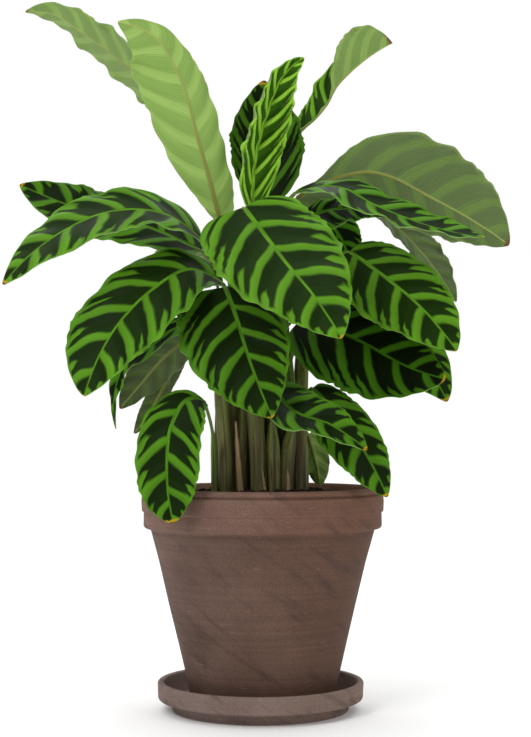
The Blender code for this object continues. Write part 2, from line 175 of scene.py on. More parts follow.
LEAVES = [
    Leaf("far_left_high",
         [(-83, 55, 600), (-138, 75, 655), (-190, 85, 696), (-226, 85, 718), (-251, 80, 718)],
         [(0.5, 0.38, 0.66), (0.5, 0.38, 0.66)],
         (38, 0.42, 0.5), (38, 0.42, 0.5), 8, -10, (-22, 4), 5.0, 0.5),
    Leaf("tall_pale",
         [(-42, -15, 484), (-62, -35, 557), (-83, -60, 623), (-105, -80, 653), (-137, -90, 663)],
         [(-0.1, 0.9, 0.3), (-0.2, 0.8, 0.6)],
         (24, 0.45, 0.3), (42, 0.7, 1.0), 8, 5, (-30, -8), 5.0, 0.3),
    Leaf("upright_dark",
         [(5, 15, 509), (4, 25, 572), (1, 22, 632)],
         [(0, -1, 0.1), (0, -1, 0.2)],
         (38, 0.5, 0.5), (38, 0.5, 0.5), 10, 5, (-7, 1), 4.5, 0.0),
    Leaf("young_folded",
         [(-10, -22, 498), (-8, -30, 537), (4, -35, 585), (24, -32, 629), (41, -25, 644)],
         [(0.4, -0.9, 0), (0.5, -0.85, 0), (0.3, -0.9, 0.2)],
         (24, 0.35, 0.5), (26, 0.5, 0.5), 30, 10, (-3, -16), 5.0, 0.3),
    Leaf("twisted_high",
         [(38, 45, 584), (52, 47, 595), (66, 49, 611), (78, 50, 633), (101, 47, 655), (134, 40, 675)],
         [(-0.8, -0.15, 0.6), (-0.75, -0.1, 0.65)],
         (22, 0.45, 0.5), (36, 0.78, 16.0, 3.0), 62, 5, (1, 17), 5.0, 0.3),
    Leaf("right_wide",
         [(35, 34, 513), (63, 32, 529), (105, 20, 538), (174, -8, 505), (241, -38, 457)],
         [(0, 0.85, 0.5), (0.1, 0.8, 0.6)],
         (46, 0.5, 0.6), (55, 0.6, 3.2, 2.1), 5, 5, (8, 3), 5.5, 1.2),
    Leaf("right_narrow",
         [(33, -20, 511), (73, -38, 514), (110, -62, 492), (165, -90, 467), (206, -115, 455)],
         [(0, -0.45, 0.9), (0.1, -0.5, 0.85)],
         (26, 0.6, 0.7), (33, 0.55, 0.5), 8, 0, (12, -13), 4.5, 0.5),
    Leaf("right_dark_short",
         [(40, -2, 486), (68, -4, 496), (120, -14, 488)],
         [(0, -0.8, 0.6), (0, -0.7, 0.7)],
         (16, 0.5, 0.5), (28, 0.4, 0.5), 5, 0, (34, 4), 3.5, 1.5),
    Leaf("right_small_hidden",
         [(56, 22, 494), (76, 26, 477), (88, 22, 444)],
         [(0, -0.9, 0.5), (0, -1, 0.2)],
         (22, 0.5, 0.5), (26, 0.5, 0.5), 5, 0, (21, 5), 4.5, 0.2),
    Leaf("front_centre",
         [(-18, -60, 491), (4, -95, 458), (23, -120, 430), (45, -145, 401), (71, -165, 359)],
         [(-0.2, -0.7, 0.7), (-0.2, -0.85, 0.5)],
         (54, 0.45, 0.35), (59, 0.34, 0.25), 4, -6, (-4, -34), 7.5, 1.5),
    Leaf("right_front",
         [(86, -15, 453), (115, -45, 428), (156, -75, 388), (183, -90, 351)],
         [(-0.1, -0.8, 0.6), (0, -0.9, 0.5)],
         (39, 0.48, 0.4), (49, 0.45, 0.4), 4, -4, (37, -20), 6.3, 0.8),
    Leaf("right_slim_back",
         [(114, 60, 509), (156, 75, 475), (183, 80, 444), (203, 75, 410)],
         [(0.6, 0.4, 0.6), (0.7, 0.4, 0.5)],
         (24, 0.5, 0.5), (28, 0.6, 0.5), 8, 0, (34, 15), 4.0, 0.8),
    Leaf("right_low_dark",
         [(40, -15, 388), (92, -42, 364), (147, -60, 334), (175, -70, 325)],
         [(0, -0.85, 0.5), (0, -0.9, 0.5)],
         (46, 0.5, 0.4), (58, 0.48, 0.4), 4, -4, (28, -10), 4.5, 0.5),
    Leaf("right_low_back",
         [(85, 40, 391), (142, 55, 369), (190, 50, 305)],
         [(0, -0.9, 0.5), (0.2, -1, 0.3)],
         (30, 0.6, 0.5), (36, 0.5, 0.5), 4, -4, (28, 23), 4.5, 0.5),
    Leaf("left_low_wide",
         [(-39, -30, 420), (-71, -60, 431), (-102, -85, 411), (-133, -105, 377), (-164, -120, 308)],
         [(0, -0.8, 0.7), (-0.2, -0.9, 0.5)],
         (44, 0.6, 0.9), (43, 0.72, 0.7), 4, -4, (-19, -21), 4.5, 0.4),
    Leaf("front_left_low",
         [(-36, -60, 414), (-27, -77, 390), (-12, -105, 342), (9, -115, 288)],
         [(0, -0.8, 0.6), (0, -0.95, 0.3)],
         (43, 0.45, 0.4), (58, 0.4, 0.3), 4, -6, (-34, -27), 8.0, 1.0),
    Leaf("left_arching",
         [(-61, -25, 464), (-95, -50, 486), (-136, -70, 487), (-198, -95, 457), (-241, -110, 412)],
         [(0, -0.6, 0.8), (-0.1, -0.65, 0.75)],
         (40, 0.5, 0.6), (37, 0.38, 0.5), 6, -6, (-44, -9), 4.5, 0.4),
    Leaf("left_back",
         [(-63, 20, 458), (-115, 35, 483), (-196, 55, 507), (-253, 60, 531)],
         [(0, -0.6, 0.8), (0.2, -0.85, 0.5)],
         (38, 0.55, 0.5), (35, 0.62, 0.6), 4, -4, (-37, 6), 4.5, 0.4),
    Leaf("left_shaded_drooping",
         [(-58, 25, 386), (-90, 33, 379), (-119, 40, 358), (-143, 47, 342), (-151, 50, 321), (-151, 50, 277)],
         [(0, -0.7, 0.7), (-0.3, -0.8, 0.5), (-1, -0.3, 0)],
         (13, 0.35, 0.5), (14, 0.4, 0.5), 8, 0, (-47, 9), 3.5, 0.6),
    Leaf("left_hanging",
         [(-69, 50, 374), (-96, 60, 357), (-128, 70, 323), (-149, 72, 298)],
         [(-0.4, 0.85, 0.3), (-0.5, 0.85, 0.2)],
         (23, 0.55, 0.5), (24, 0.45, 0.5), 6, 0, (-40, 21), 3.5, 0.8),
    Leaf("left_inner_hanging",
         [(-86, 85, 350), (-100, 88, 330), (-116, 88, 300), (-135, 85, 272)],
         [(-0.4, 0.9, 0.2), (-0.4, 0.9, 0.1)],
         (13, 0.5, 0.5), (12, 0.5, 0.5), 6, 0, (-28, 20), 3.5, 0.5),
    Leaf("over_rim_left",
         [(-55, -85, 304), (-70, -102, 305), (-84, -114, 281), (-88, -117, 244), (-82, -114, 191)],
         [(0, -0.7, 0.7), (-0.1, -1, 0.1), (0, -1, 0)],
         (31, 0.5, 0.7, 3.0), (29, 0.55, 1.6, 3.0), 6, -6, (-47, -29), 3.2, 1.5),
    Leaf("low_centre",
         [(13, -60, 317), (32, -95, 293), (64, -117, 281), (96, -127, 258)],
         [(-0.1, -0.7, 0.7), (0, -0.7, 0.7)],
         (26, 0.35, 0.5), (30, 0.45, 0.5), 18, 0, (11, -30), 6.3, 1.0),
    Leaf("low_right",
         [(48, -50, 317), (72, -78, 289), (96, -92, 256), (117, -92, 214)],
         [(0, -0.8, 0.6), (0.1, -0.95, 0.3)],
         (24, 0.5, 0.5), (32, 0.5, 0.5), 5, -4, (24, -26), 6.5, 1.0),
    Leaf("inside_drooping",
         [(45, -3, 272), (53, 8, 246), (58, 18, 219)],
         [(0.1, 1, 0.3), (0.1, 1, 0.1)],
         (14, 0.5, 0.5), (14, 0.5, 0.5), 8, 0, (43, -7), 3.0, 0.3),
    Leaf("back_left",
         [(-20, 70, 440), (-60, 125, 465), (-100, 160, 445), (-130, 175, 400)],
         [(-0.2, 0.5, 0.85), (-0.4, 0.8, 0.5)],
         (42, 0.5, 0.4), (42, 0.5, 0.4), 4, -4, (-14, 18), 4.5, 0.5),
    Leaf("back_centre",
         [(5, 75, 430), (12, 130, 450), (18, 180, 435), (20, 222, 395)],
         [(0, 0.3, 1), (0, 0.8, 0.5)],
         (44, 0.5, 0.4), (44, 0.5, 0.4), 4, -4, (-2, 32), 4.5, 0.5),
    Leaf("back_right",
         [(60, 78, 420), (105, 118, 440), (150, 150, 420), (182, 168, 380)],
         [(0.2, 0.4, 0.9), (0.5, 0.6, 0.6)],
         (42, 0.5, 0.4), (42, 0.5, 0.4), 4, -4, (15, 20), 4.5, 0.5),
]

# How one leaf differs from the next. stripes: bright stripes on each side. shift: how far the
# right side's stripes lie from the left's, in stripes. wave and waves: height in millimetres and
# number of the waves along the margin. young: from 0, a dark full-grown leaf, to 1, a fresh one.
# pale: the same for the underside, and partly painted light: undersides lit through from
# behind, and one that hangs in shade, are painted paler. burnt: millimetres of dried tip. pleat:
# depth of the folds between stripes. tone: how light the upper side is against the other leaves;
# below 1 it is painted shade, on leaves that stand in shade. lean: how much its stripes slant
# against theirs.
Look = namedtuple("Look", "stripes shift wave waves young pale burnt pleat tone lean",
                  defaults=[1.0, 1.0])

LOOKS = {
    "far_left_high": Look(7, 0.4, 2.5, 5.0, 0.3, 0.62, 3, 0.4),
    "tall_pale": Look(7, 0.5, 1.5, 3.5, 0.6, 1.1, 0, 0.4),
    "upright_dark": Look(4, 0.5, 1.5, 2.5, 0.1, 0.3, 4, 0.5, 0.62, 1.5),
    "young_folded": Look(7, 0.5, 1.8, 4.5, 0.9, 0.7, 0, 1.5, 1.15, 1.8),
    "twisted_high": Look(6, 0.4, 2.2, 4.0, 0.4, 0.7, 4, 0.3, 1.1, 1.2),
    "right_wide": Look(7, 0.5, 2.2, 5.0, 0.2, 0.12, 5, 0.3),
    "right_narrow": Look(6, 0.4, 2.0, 4.0, 0.1, 0.2, 2, 0.6),
    "right_dark_short": Look(4, 0.5, 1.5, 3.0, 0.0, 0.2, 0, 0.5),
    "right_small_hidden": Look(3, 0.5, 1.0, 3.0, 0.0, 0.2, 0, 0.4),
    "front_centre": Look(5, 0.1, 1.6, 3.5, 0.2, 0.3, 2, 0.6),
    "right_front": Look(5, 0.5, 1.6, 3.5, 0.2, 0.3, 1, 0.6),
    "right_slim_back": Look(6, 0.5, 1.8, 5.0, 0.1, 0.1, 3, 0.4),
    "right_low_dark": Look(5, 0.5, 1.6, 3.0, 0.0, 0.1, 3, 0.5, 0.7),
    "right_low_back": Look(5, 0.5, 1.6, 3.0, 0.1, 0.1, 3, 0.5),
    "left_low_wide": Look(6, 0.5, 2.0, 4.0, 0.15, 0.2, 1, 0.6),
    "front_left_low": Look(5, 0.3, 1.4, 3.0, 0.1, 0.2, 2, 0.5, 0.82),
    "left_arching": Look(6, 0.5, 2.0, 4.0, 0.2, 0.4, 4, 0.6),
    "left_back": Look(6, 0.5, 2.0, 5.0, 0.1, 0.3, 3, 0.6, 0.85),
    "left_shaded_drooping": Look(5, 0.5, 1.2, 4.0, 0.0, 0.0, 3, 0.4),
    "left_hanging": Look(5, 0.5, 1.5, 3.0, 0.0, 0.0, 3, 0.5),
    "left_inner_hanging": Look(5, 0.5, 1.2, 3.0, 0.0, 0.05, 2, 0.4),
    "over_rim_left": Look(5, 0.5, 1.6, 4.0, 0.1, 0.2, 3, 0.5, 0.9),
    "low_centre": Look(4, 0.5, 1.2, 3.0, 0.1, 0.2, 3, 0.5, 0.85),
    "low_right": Look(4, 0.5, 1.2, 3.0, 0.1, 0.2, 3, 0.5, 0.85),
    "inside_drooping": Look(3, 0.5, 0.8, 3.0, 0.1, 0.8, 0, 0.3),
    "back_left": Look(6, 0.5, 1.8, 4.0, 0.2, 0.2, 2, 0.6),
    "back_centre": Look(6, 0.4, 1.8, 4.0, 0.2, 0.2, 3, 0.6),
    "back_right": Look(6, 0.5, 1.8, 4.0, 0.2, 0.2, 2, 0.6),
}


def unit(vectors):
    vectors = np.asarray(vectors, float)
    return vectors / np.linalg.norm(vectors, axis=-1, keepdims=True)


def smooth_line(points, s):
    """Points at the fractions s of a smooth line through the given points."""
    points = np.asarray(points, float)
    steps = np.linalg.norm(np.diff(points, axis=0), axis=1)
    knots = np.concatenate([[0.0], np.cumsum(steps)]) / steps.sum()
    slopes = np.gradient(points, knots, axis=0, edge_order=2)
    s = np.asarray(s, float)
    i = np.clip(np.searchsorted(knots, s, side="right") - 1, 0, len(points) - 2)
    span = (knots[i + 1] - knots[i])[..., None]
    u = (s - knots[i])[..., None] / span
    start = (1 + 2 * u) * (1 - u) ** 2 * points[i] + u * (1 - u) ** 2 * span * slopes[i]
    end = u * u * (3 - 2 * u) * points[i + 1] + u * u * (u - 1) * span * slopes[i + 1]
    return start + end


def side_outline(s, side):
    """Half-width along one side, round at the base and pointed at the tip."""
    half, belly, shoulder, taper = (*side, TIP_ROUNDNESS)[:4]
    base_part = 1 - (1 - np.clip(s / belly, 0, 1)) ** BASE_ROUNDNESS
    tip_part = 1 - np.clip((s - belly) / (1 - belly), 0, 1) ** taper
    ends = BASE_HALF_WIDTH + (TIP_HALF_WIDTH - BASE_HALF_WIDTH) * s
    return ends + (half - ends) * base_part ** shoulder * tip_part ** TIP_SHARPNESS


def blade_frame(leaf, s):
    """Midrib points, with the directions along the rib, across the blade and out of its face."""
    reach = 0.01
    rib = smooth_line(leaf.rib, s)
    along = unit(smooth_line(leaf.rib, s + reach) - smooth_line(leaf.rib, s - reach))
    stations = np.linspace(0, 1, len(leaf.face))
    face = np.stack([np.interp(s, stations, axis) for axis in unit(leaf.face).T], axis=-1)
    face = unit(face - (face * along).sum(axis=-1, keepdims=True) * along)
    return rib, along, np.cross(along, face), face


def half_width(leaf, s, t):
    """Width from the midrib to the margin, on the side where t lies."""
    return np.where(t < 0, side_outline(s, leaf.left), side_outline(s, leaf.right))


def blade_points(leaf, s, t):
    """The blade's surface at s, from base to tip, and t, from one margin to the other."""
    rib, _, across, face = blade_frame(leaf, s)
    distance = np.abs(t) * half_width(leaf, s, t)
    fold = math.radians(leaf.fold)
    turn = math.radians(leaf.bend if leaf.bend else 0.1) / max(leaf.left[0], leaf.right[0])
    out = (np.sin(fold + turn * distance) - math.sin(fold)) / turn
    up = (math.cos(fold) - np.cos(fold + turn * distance)) / turn
    return rib + across * (np.sign(t) * out)[..., None] + face * up[..., None]


def rib_length(leaf):
    line = smooth_line(leaf.rib, np.linspace(0, 1, 60))
    return np.linalg.norm(np.diff(line, axis=0), axis=1).sum()


def stripe_place(leaf, look, s, t):
    """Counts the stripes: whole numbers run along the middles of the bright ones."""
    share = np.abs(t)
    distance = share * half_width(leaf, s, t)
    lean = (STRIPE_LEAN * distance + STRIPE_CURL * distance * share ** 2) / rib_length(leaf)
    first = np.where(t < 0, FIRST_STRIPE, FIRST_STRIPE + look.shift)
    return look.stripes * (s - look.lean * lean) + first


def relief(leaf, look, s, t, random):
    """How far the real blade stands off the smooth one: waves, folds, swelling and ribbing."""
    share = np.abs(t)
    calm_ends = np.sin(np.pi * np.clip(s, 0, 1)) ** 0.7
    turns = 2 * np.pi * look.waves * s
    starts = random.uniform(0, 2 * np.pi, 6)
    slow = turns + np.where(t < 0, starts[0], starts[1])
    quick = 1.9 * turns + np.where(t < 0, starts[2], starts[3])
    margin = look.wave * share ** 2.2 * (np.sin(slow) + 0.5 * np.sin(quick)) * calm_ends
    stripe = stripe_place(leaf, look, s, t)
    between = np.cos(2 * np.pi * stripe)
    pleats = look.pleat * between * np.clip(share * (1.15 - share) * 3, 0, 1) * calm_ends
    swell = SWELL_HEIGHT * np.sin(5 * s + starts[4]) * np.sin(2.5 * t + starts[5]) * calm_ends
    ribbing = RIBBING * np.cos(6 * np.pi * stripe) * share * calm_ends
    return margin + PLEAT_HEIGHT * pleats + swell * share + ribbing


def blade_surfaces(leaf, look, s, t, random):
    """The upper and the lower surface of a blade, with its midrib, lobes and ragged margins."""
    step = 0.004
    run = blade_points(leaf, s + step, t) - blade_points(leaf, s - step, t)
    sweep = blade_points(leaf, s, t + step) - blade_points(leaf, s, t - step)
    normal = unit(np.cross(sweep, run))
    along = blade_frame(leaf, s)[1]
    share = np.abs(t)
    uneven = np.sin(37 * s + 9 * np.sin(11 * s + random.uniform(0, 6)))
    scallops = np.cos(2 * np.pi * stripe_place(leaf, look, s, t))
    ragged = 1 + RAGGED * share * uneven - RAGGED * share ** 4 * scallops
    middle = blade_points(leaf, s, t * ragged)
    lobes = LOBE_REACH * share ** 2 * np.exp(-s / LOBE_LENGTH) * (1 - np.exp(-s / LOBE_START))
    middle = middle - along * lobes[:, None] + normal * relief(leaf, look, s, t, random)[:, None]
    away = share * half_width(leaf, s, t)
    taper = 1 - 0.8 * s
    groove = GROOVE_DEPTH * taper * np.exp(-(away / (1.5 * taper + 0.3)) ** 2)
    bulge = RIB_HEIGHT * taper * np.exp(-(away / (1.7 * taper + 0.4)) ** 2)
    upper = middle + normal * (HALF_THICKNESS - groove)[:, None]
    lower = middle - normal * (HALF_THICKNESS + bulge)[:, None]
    return upper, lower


def smooth_mesh(name, points, faces, crease=None):
    """A smooth mesh from points in millimetres, sharp where it turns by more than crease degrees."""
    mesh = bpy.data.meshes.new(name)
    mesh.from_pydata((np.asarray(points) * MM).tolist(), [], faces)
    mesh.shade_smooth()
    if crease:
        mesh.set_sharp_from_angle(angle=math.radians(crease))
    return mesh


def sheet_faces(rows, columns):
    """Faces of a thin sheet: its upper surface, its lower one and the edge between them."""
    count = rows * columns
    corner = (np.arange(rows - 1)[:, None] * columns + np.arange(columns - 1)).ravel()
    upper = np.stack([corner, corner + 1, corner + columns + 1, corner + columns], axis=1)
    start = np.arange(rows) * columns
    ring = np.concatenate([np.arange(columns), start[1:] + columns - 1,
                           np.arange(columns - 2, -1, -1) + count - columns, start[-2:0:-1]])
    following = np.roll(ring, -1)
    edge = np.stack([ring, ring + count, following + count, following], axis=1)
    return upper, upper[:, ::-1] + count, edge


def tube_faces(rows, sides, flipped=False):
    """Faces of a tube of rings with both its ends closed. flipped turns every face over."""
    i = np.arange(rows - 1)[:, None] * sides
    j = np.arange(sides)
    k = (j + 1) % sides
    quads = np.stack([i + j, i + k, i + k + sides, i + j + sides], axis=-1).reshape(-1, 4)
    first = list(range(sides))
    last = list(range((rows - 1) * sides, rows * sides))
    if flipped:
        return quads[:, [0, 3, 2, 1]].tolist() + [first, last[::-1]]
    return quads.tolist() + [first[::-1], last]


def paint(mesh, name, *values):
    """Stores three numbers for each point, the same on the upper and the lower surface."""
    columns = np.broadcast_arrays(*(np.atleast_1d(value) for value in values))
    rows = np.stack(columns, axis=1)
    repeats = len(mesh.vertices) // len(rows)
    layer = mesh.attributes.new(name, "FLOAT_VECTOR", "POINT")
    layer.data.foreach_set("vector", np.tile(rows, (repeats, 1)).astype(np.float32).ravel())


def blade_mesh(leaf, look, random):
    """A blade: both surfaces, the margin between them, and the numbers that its pattern needs."""
    rows = 0.5 - 0.5 * np.cos(np.pi * np.linspace(0, 1, STATIONS))
    ladder = np.linspace(-1, 1, STRIPS + 1)
    columns = np.sign(ladder) * np.abs(ladder) ** CLOSER_AT_RIB
    s, t = (g.ravel() for g in np.meshgrid(rows, columns, indexing="ij"))
    surfaces = np.vstack(blade_surfaces(leaf, look, s, t, random))
    parts = sheet_faces(STATIONS, STRIPS + 1)
    mesh = smooth_mesh("leaf_" + leaf.name, surfaces, np.vstack(parts).tolist(),
                       BLADE_CREASE_DEGREES)
    finishes = np.repeat([0, 1, 2], [len(part) for part in parts])
    mesh.polygons.foreach_set("material_index", finishes.astype(np.int32))
    share = np.abs(t)
    length = rib_length(leaf)
    stripe = stripe_place(leaf, look, s, t)
    seed = random.uniform(0, 40)
    paint(mesh, "pattern", stripe, share, s)
    paint(mesh, "veins", stripe / look.stripes * length, share * half_width(leaf, s, t), seed)
    paint(mesh, "tip", (1 - s) * length - look.burnt + YELLOW_LEAD, 0, 0)
    paint(mesh, "age_and_painted_light", look.young, look.pale, look.tone)
    return mesh


def stem_line(leaf, count):
    """The stem's line from the soil to just short of the blade, at even parameters."""
    rib, along, _, _ = blade_frame(leaf, np.array([0.0]))
    arrival = unit(along[0] + leaf.lift * np.array([0, 0, 1]))
    slant = np.linalg.norm(np.cross(arrival, along[0]))
    top = rib[0] - arrival * (GAP + slant * COLLAR_CLEARANCE)
    foot = np.array([*leaf.foot, SOIL_TOP + GAP])
    start = foot + (0, 0, STEM_STRAIGHT)
    rise = np.array([0, 0, max(STEM_RISE * (top - start)[2], STEM_LEAST_RISE)])
    reach = STEM_REACH * np.linalg.norm(top - start)
    u = np.linspace(0, 1, count)[:, None]
    line = ((1 - u) ** 3 * start + 3 * u * (1 - u) ** 2 * (start + rise)
            + 3 * u * u * (1 - u) * (top - arrival * reach) + u ** 3 * top)
    return foot, line


def stem_radius(leaf, u):
    """The stem's radius at u, from the soil to the blade: full in the sheath, thin above it."""
    fall = np.clip((u - SHEATH_ENDS) / (THIN_FROM - SHEATH_ENDS), 0, 1)
    return COLLAR_RADIUS + (leaf.stem - COLLAR_RADIUS) * (1 - fall * fall * (3 - 2 * fall))


def stalk_path(leaf):
    """The stalk's line from inside the soil to under the midrib, how far along it is, its radius."""
    foot, line = stem_line(leaf, STEM_ROWS)
    below = foot - (0, 0, STEM_DEPTH)
    rib, _, _, face = blade_frame(leaf, np.array([0.012, 0.03, 0.055]))
    under = rib - face * np.array([0.5, 0.75, 0.75])[:, None]
    path = np.vstack([below, foot, line, under])
    u = np.concatenate([[0, 0], np.linspace(0, 1, STEM_ROWS), [1, 1, 1]])
    knee = KNEE_HEIGHT * np.exp(-((u - 0.97) / 0.035) ** 2) * (leaf.stem > KNEE_LEAST_STEM)
    radius = stem_radius(leaf, u) + knee
    radius[-3:] = (1.35, 1.0, 0.4)
    return path, u, radius


def carried_frames(line):
    """Two directions across each point of a line, which turn as little as they can."""
    along = unit(np.gradient(line, axis=0))
    side = np.array([0.0, -1.0, 0.0])
    sides = []
    for direction in along:
        side = side - direction * (side @ direction)
        side = side / np.linalg.norm(side)
        sides.append(side)
    sides = np.array(sides)
    return sides, np.cross(along, sides)


def stalk_mesh(leaf, random):
    """A ridged stalk in a sleeve that ends in a slanted edge."""
    path, u, radius = stalk_path(leaf)
    side, other = carried_frames(path)
    angle = np.linspace(0, 2 * np.pi, STEM_SIDES, endpoint=False)
    start = random.uniform(0, 2 * np.pi, 3)
    ridges = 0.035 * np.sin(7 * angle + start[0]) + 0.02 * np.sin(12 * angle + start[1])
    seam = -0.09 * np.exp(-(np.angle(np.exp(1j * (angle - start[2]))) / 0.16) ** 2)
    sheath = np.clip((leaf.stem - 2.5) / 4, 0, 1)
    shape = 1 + (ridges + seam)[None, :] * sheath * (radius / leaf.stem)[:, None]
    travel = np.concatenate([[0], np.cumsum(np.linalg.norm(np.diff(path, axis=0), axis=1))])
    low = random.uniform(45, 70)
    high = random.uniform(85, 130)
    sleeve_end = low + (high - low) * (0.5 + 0.5 * np.cos(angle - start[2] + 0.6)) ** 0.7
    above = travel[:, None] - sleeve_end[None, :]
    sleeve = SLEEVE_STEP * sheath * np.clip(0.5 - above / 3, 0, 1)
    reach = radius[:, None] * shape + sleeve
    ring = (side[:, None, :] * np.cos(angle)[None, :, None]
            + other[:, None, :] * np.sin(angle)[None, :, None])
    points = path[:, None, :] + ring * reach[..., None]
    mesh = smooth_mesh("stalk_" + leaf.name, points.reshape(-1, 3),
                       tube_faces(len(path), STEM_SIDES))
    sheathed = sheath > SLEEVE_FROM
    grown = np.repeat(u, STEM_SIDES) + (0.0 if sheathed else 0.4)
    paint(mesh, "fibre", np.tile(angle, len(path)) * leaf.stem, np.repeat(travel, STEM_SIDES),
          start[0] * 7)
    paint(mesh, "growth", grown, above.ravel() if sheathed else NO_SLEEVE, 0)
    return mesh


def turned(name, profile, closed, wobble):
    """A lathe form from a profile. wobble is how far its wall strays from round."""
    profile = np.asarray(profile, float)
    angle = np.linspace(0, 2 * np.pi, TURNED_STEPS, endpoint=False)
    stray = wobble * np.sin(3 * angle + 1)[:, None] * np.sin(profile[:, 1] / 23)[None, :]
    radius = profile[:, 0][None, :] + stray
    points = np.stack([radius * np.cos(angle)[:, None], radius * np.sin(angle)[:, None],
                       np.broadcast_to(profile[:, 1], radius.shape)], axis=-1)
    count = len(profile)
    i = np.arange(TURNED_STEPS)[:, None] * count
    after = ((np.arange(TURNED_STEPS) + 1) % TURNED_STEPS)[:, None] * count
    j = np.arange(count if closed else count - 1)
    k = (j + 1) % count
    faces = np.stack([i + j, after + j, after + k, i + k], axis=-1).reshape(-1, 4).tolist()
    if not closed:
        faces.append((np.arange(TURNED_STEPS)[::-1] * count).tolist())
        faces.append((np.arange(TURNED_STEPS) * count + count - 1).tolist())
    return smooth_mesh(name, points.reshape(-1, 3), faces, TURNED_CREASE_DEGREES)


def eased(corners, radius):
    """A profile with its corners rounded."""
    corners = np.asarray(corners, float)
    done = []
    count = len(corners)
    for i, corner in enumerate(corners):
        into = corners[i - 1] - corner
        out = corners[(i + 1) % count] - corner
        cut = min(radius, 0.4 * np.linalg.norm(into), 0.4 * np.linalg.norm(out))
        start = corner + into / np.linalg.norm(into) * cut
        end = corner + out / np.linalg.norm(out) * cut
        for u in np.linspace(0, 1, CORNER_POINTS):
            done.append((1 - u) ** 2 * start + 2 * u * (1 - u) * corner + u * u * end)
    return np.array(done)


def pot_mesh():
    return turned("clay_pot", eased(POT_PROFILE, radius=1.1), closed=True, wobble=0.25)


def saucer_mesh():
    rounded = eased(SAUCER_PROFILE, radius=1.0)[CORNER_POINTS:-CORNER_POINTS]
    profile = np.vstack([SAUCER_PROFILE[0], rounded, SAUCER_PROFILE[-1]])
    mesh = turned("clay_saucer", profile, closed=False, wobble=0.2)
    mesh.transform(Matrix.Translation((SAUCER_SHIFT * MM, 0, 0)))
    return mesh


def soil_level(distance):
    return np.interp(distance, SOIL_DISTANCES, SOIL_HEIGHTS)


def soil_mesh(random):
    """The soil's body, with its top broken up into lumps."""
    rings = np.linspace(0.5, SOIL_RADIUS, SOIL_RINGS)
    angle = np.linspace(0, 2 * np.pi, SOIL_SIDES, endpoint=False)
    x = rings[:, None] * np.cos(angle)
    y = rings[:, None] * np.sin(angle)
    level = soil_level(rings)[:, None]
    height = level
    for scale, tall in ((0.09, 1.1), (0.21, 0.9), (0.47, 0.6)):
        for turn in random.uniform(0, 2 * np.pi, 5):
            start = random.uniform(0, 2 * np.pi)
            height = height + tall * 0.45 * np.sin(
                scale * (x * math.cos(turn) + y * math.sin(turn)) * 2.2 + start)
    calm = np.clip((SOIL_RADIUS - rings) / SOIL_CALM_EDGE, 0, 1)[:, None]
    top = np.stack([x, y, level + (height - level) * calm], axis=-1).reshape(-1, 3)
    lower = np.array([[(r * math.cos(a), r * math.sin(a), z) for a in angle]
                      for r, z in SOIL_BELOW]).reshape(-1, 3)
    faces = tube_faces(SOIL_RINGS + len(SOIL_BELOW), SOIL_SIDES, flipped=True)
    return smooth_mesh("potting_soil", np.vstack([top, lower]), faces)


def crumbs_mesh(random):
    """Loose lumps of bark and peat lying on the soil and banked against the stalks."""
    lump = bmesh.new()
    bmesh.ops.create_icosphere(lump, subdivisions=2, radius=1.0)
    shape = np.array([v.co for v in lump.verts])
    sides = np.array([[v.index for v in face.verts] for face in lump.faces])
    lump.free()
    verts, faces = [], []
    for number in range(CRUMBS):
        size = random.uniform(1.2, 4.2) * (1, 1, 0.7)[number % 3]
        distance = 100 * math.sqrt(random.uniform(0.05, 1))
        angle = random.uniform(0, 2 * np.pi)
        centre = np.array([distance * math.cos(angle), distance * math.sin(angle),
                           soil_level(distance) + 0.35 * size])
        stretch = random.uniform(0.6, 1.5, 3) * (1, 1, 0.7)
        spin = Matrix.Rotation(random.uniform(0, 6), 3, "Z")
        tilt = Matrix.Rotation(random.uniform(-0.6, 0.6), 3, "X")
        rough = 1 + 0.16 * np.sin(shape @ random.uniform(-4, 4, 3) + random.uniform(0, 6))
        placed = (shape * rough[:, None] * stretch * size) @ np.array(spin @ tilt).T + centre
        faces.append(sides + len(verts) * len(shape))
        verts.append(placed)
    return smooth_mesh("soil_crumbs", np.vstack(verts), np.vstack(faces).tolist())


def dried_sheath_mesh(name, foot, tip, width, random):
    """A dried sheath: a papery scale, hollow towards the stalks, that narrows to a torn point."""
    rows, columns = 40, 12
    s, t = (g.ravel() for g in np.meshgrid(np.linspace(0, 1, rows), np.linspace(-1, 1, columns),
                                           indexing="ij"))
    rise = np.asarray(tip) - foot
    torn = 0.25 * np.sin(23 * s + random.uniform(0, 6)) * (0.3 + s)
    half = 0.5 * width * (1 - s) ** 0.55 + 0.25
    lean = 1.2 * np.sin(3 * s + random.uniform(0, 6)) * s
    hollow = 0.35 * width * (1 - t * t) * (1 - 0.6 * s)
    line = np.asarray(foot) + rise * s[:, None]
    outer = line + np.stack([t * (half + torn), -(hollow + lean), 0.5 * torn], axis=1)
    inner = outer + (0, 0.45, 0)
    faces = np.vstack(sheet_faces(rows, columns)).tolist()
    mesh = smooth_mesh(name, np.vstack([outer, inner]), faces)
    seed = random.uniform(0, 30)
    paint(mesh, "fibre", t * half, s * np.linalg.norm(rise), seed)
    paint(mesh, "growth", np.abs(t), 0, 0)
    return mesh


def srgb(text):
    """Linear colour from an sRGB hex value."""
    parts = [int(text[i:i + 2], 16) / 255 for i in (1, 3, 5)]
    return (*(p / 12.92 if p <= 0.04045 else ((p + 0.055) / 1.055) ** 2.4 for p in parts), 1.0)


def node(tree, kind, inputs=(), output=0, **settings):
    """Adds one node, sets its options, and links or sets its inputs."""
    made = tree.nodes.new("ShaderNode" + kind)
    for name, value in settings.items():
        setattr(made, name, value)
    for key, value in dict(inputs).items():
        if isinstance(value, bpy.types.NodeSocket):
            tree.links.new(value, made.inputs[key])
        else:
            made.inputs[key].default_value = value
    return made.outputs[output]


